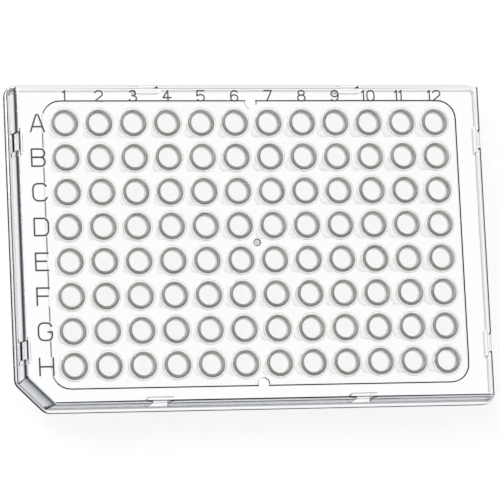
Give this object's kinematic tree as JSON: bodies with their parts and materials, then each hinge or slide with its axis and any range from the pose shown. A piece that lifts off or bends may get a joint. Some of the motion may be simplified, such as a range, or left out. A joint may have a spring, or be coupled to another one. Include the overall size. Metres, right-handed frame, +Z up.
{
  "type": "pcr well plate",
  "caption": "Shallow well plate: a clear skirted frame with one cut corner and a moulded-in sheet of thin-walled conical wells with raised rims.",
  "frame": {"origin": "centre of the footprint, on the plane that the tips of the wells stand on", "axes": "+X along the columns from 1 to 12, +Y towards row A, +Z up out of the wells"},
  "size_m": [0.1278, 0.0854, 0.016],
  "materials": {
    "clear_polycarbonate": "clear polycarbonate, polished mould",
    "natural_polypropylene": "natural translucent polypropylene, polished mould"
  },
  "bodies": {
    "root": {"frame": "clear_polycarbonate", "wells": "natural_polypropylene"}
  },
  "joints": []
}
